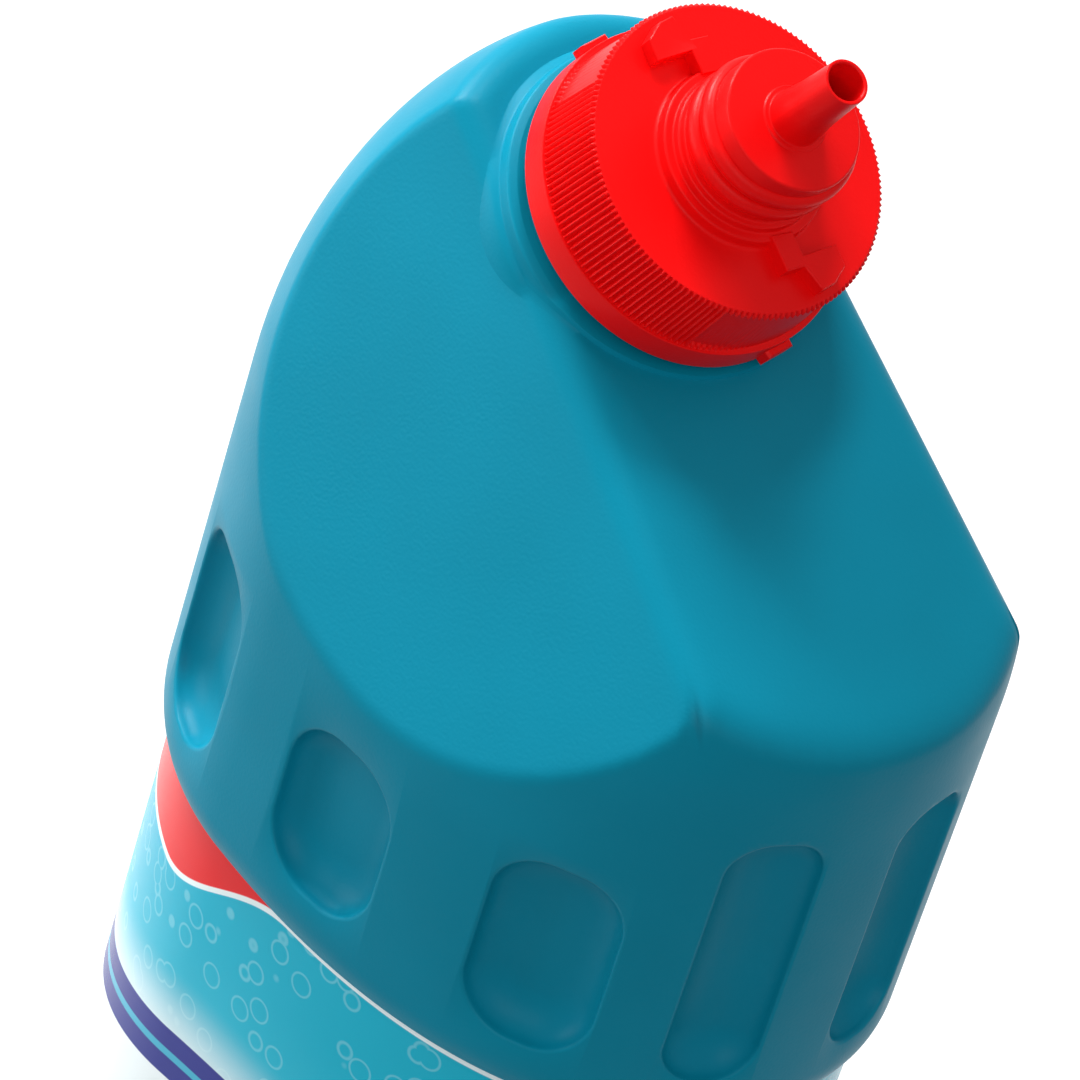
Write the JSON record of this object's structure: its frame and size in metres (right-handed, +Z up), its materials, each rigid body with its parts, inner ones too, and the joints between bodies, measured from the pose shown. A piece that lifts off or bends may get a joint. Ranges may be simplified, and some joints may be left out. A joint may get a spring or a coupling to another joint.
{
  "type": "toilet cleaner bottle",
  "caption": "Oval blown plastic bottle with a faceted shoulder, finger recesses and a slanted neck, closed by a knurled screw closure with a thin open spout.",
  "frame": {"origin": "centre of the bounding box at the underside of the foot ring, on the surface that the bottle stands on", "axes": "+Z up the bottle; +X along the oval's long axis, the way the neck leans; the front of the label faces -Y"},
  "size_m": [0.098, 0.077, 0.2503],
  "materials": {
    "bottle": "satin blown polyethylene, teal",
    "label": "printed film, gloss",
    "seal": "soft foamed polyethylene, white",
    "closure": "moulded polypropylene, red, semi-gloss"
  },
  "bodies": {
    "bottle_body": {"bottle": "bottle", "label_sleeve": "label"},
    "seal": {"neck_seal": "seal"},
    "closure": {"nozzle_cap": "closure"}
  },
  "joints": [
    {"name": "closure_lift", "type": "slide", "parent": "bottle_body", "child": "seal", "axis": [0.509, 0, 0.8607], "range_m": [0, 0.006]},
    {"name": "closure_turn", "type": "hinge", "parent": "seal", "child": "closure", "pos_m": [-0.00685, 0, 0.22], "axis": [0.509, 0, 0.8607], "range_deg": [0, 540]}
  ],
  "couplings": [
    {"joint": "closure_turn", "follows": "closure_lift", "rad_per_m": 1570.8}
  ]
}
